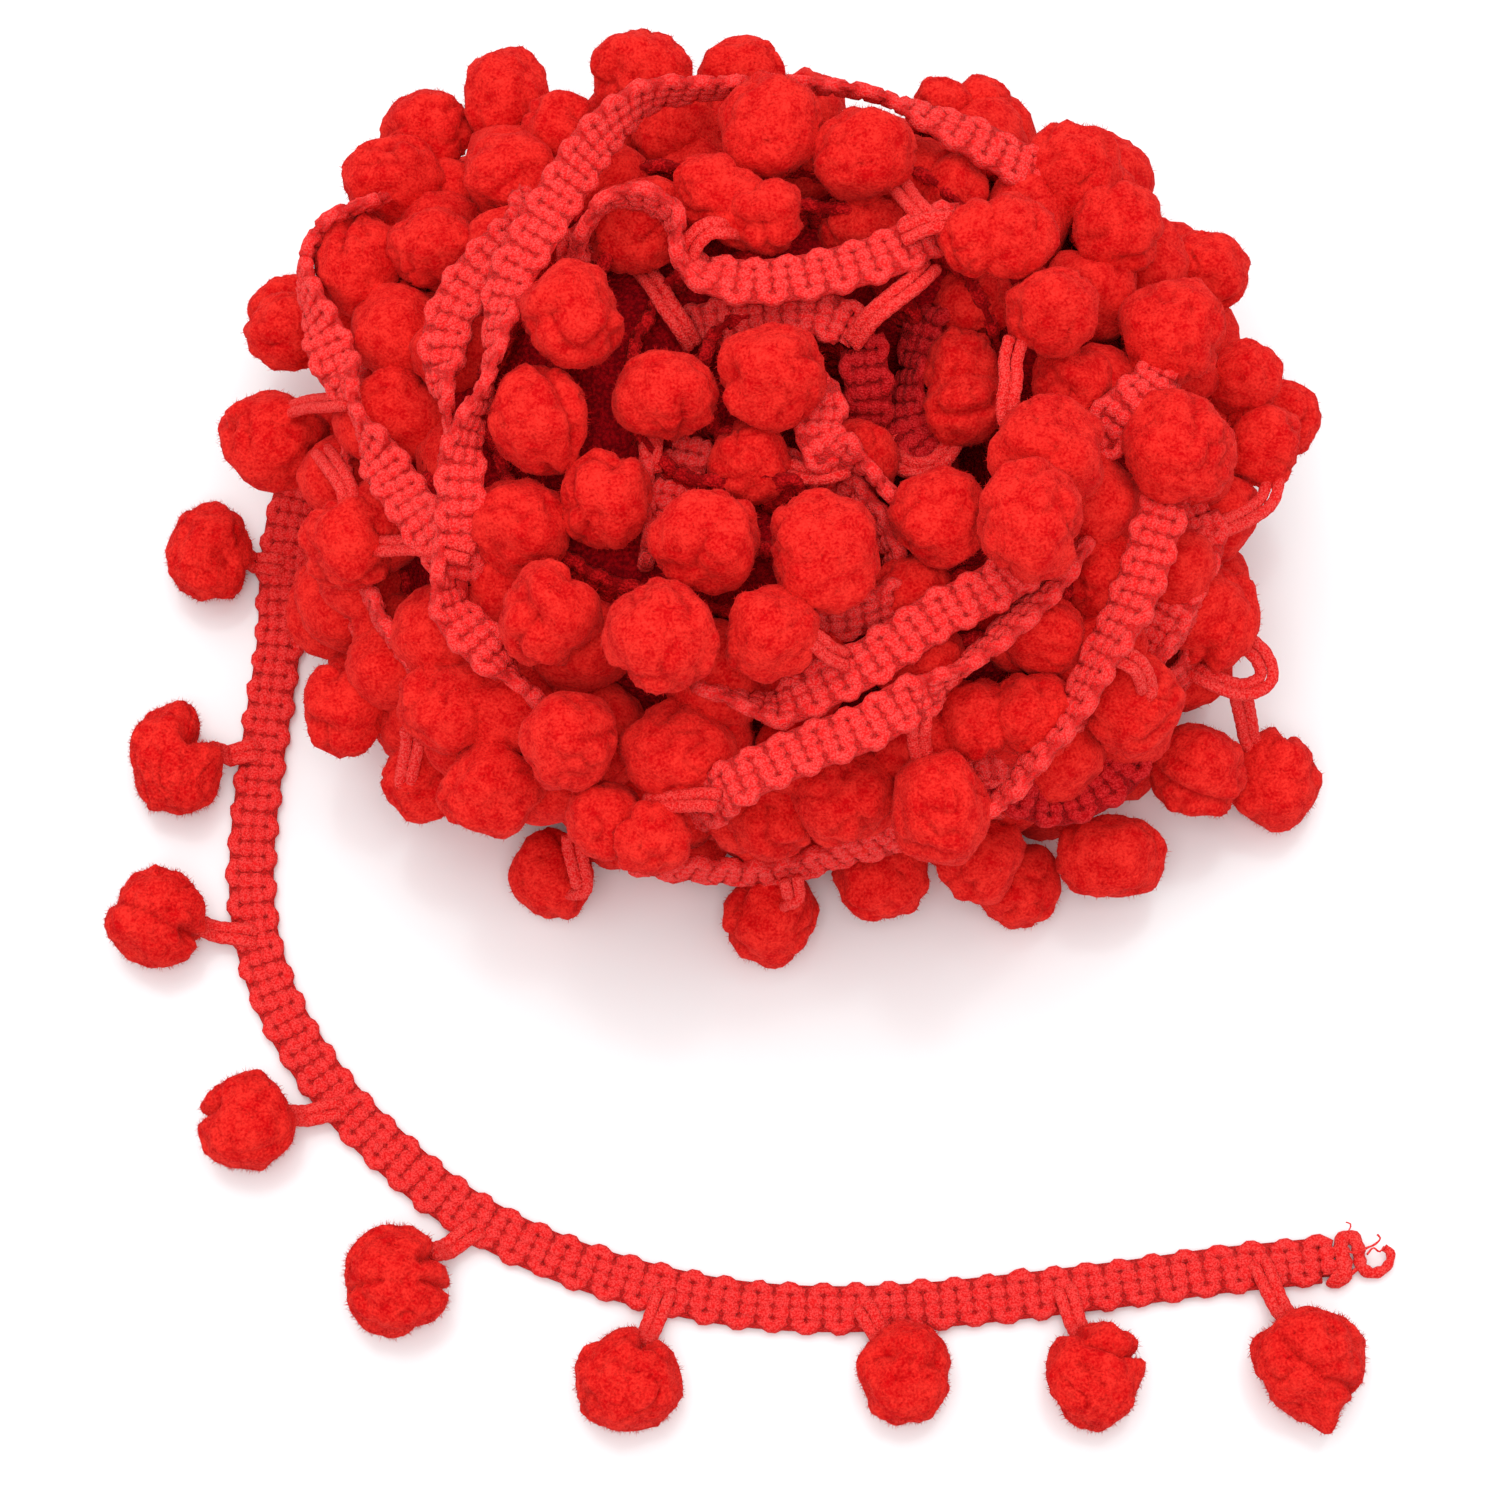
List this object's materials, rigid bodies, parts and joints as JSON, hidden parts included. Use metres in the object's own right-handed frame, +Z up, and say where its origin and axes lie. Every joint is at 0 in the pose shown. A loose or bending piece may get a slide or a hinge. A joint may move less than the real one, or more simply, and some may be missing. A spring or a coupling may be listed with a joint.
{
  "type": "pompom fringe trim",
  "caption": "Narrow ribbed braid with round felt pompoms on short twin-cord loops along one edge, loosely wound into an oval heap with one loose end curving round in front.",
  "frame": {"origin": "middle of the heap's flat base, on the surface that the trim lies on", "axes": "+Z up; -Y towards the front, where the loose end lies; +X to the right of the heap seen from the front"},
  "size_m": [0.1244, 0.1383, 0.0542],
  "materials": {
    "wound_trim": "matt dyed felt and yarn",
    "ribbed_braid": "matt ribbed yarn",
    "loop_cord": "matt soft cord",
    "pompom_felt": "fuzzy matt felt"
  },
  "bodies": {
    "root": {"wound_heap": "wound_trim", "tail_braid": "ribbed_braid", "tail_loop_1": "loop_cord", "tail_loop_2": "loop_cord", "tail_loop_3": "loop_cord", "tail_loop_4": "loop_cord", "tail_loop_5": "loop_cord", "tail_loop_6": "loop_cord", "tail_loop_7": "loop_cord", "tail_loop_8": "loop_cord", "tail_loop_9": "loop_cord", "tail_pompom_1": "pompom_felt", "tail_pompom_2": "pompom_felt", "tail_pompom_3": "pompom_felt", "tail_pompom_4": "pompom_felt", "tail_pompom_5": "pompom_felt", "tail_pompom_6": "pompom_felt", "tail_pompom_7": "pompom_felt", "tail_pompom_8": "pompom_felt", "tail_pompom_9": "pompom_felt"}
  },
  "joints": []
}
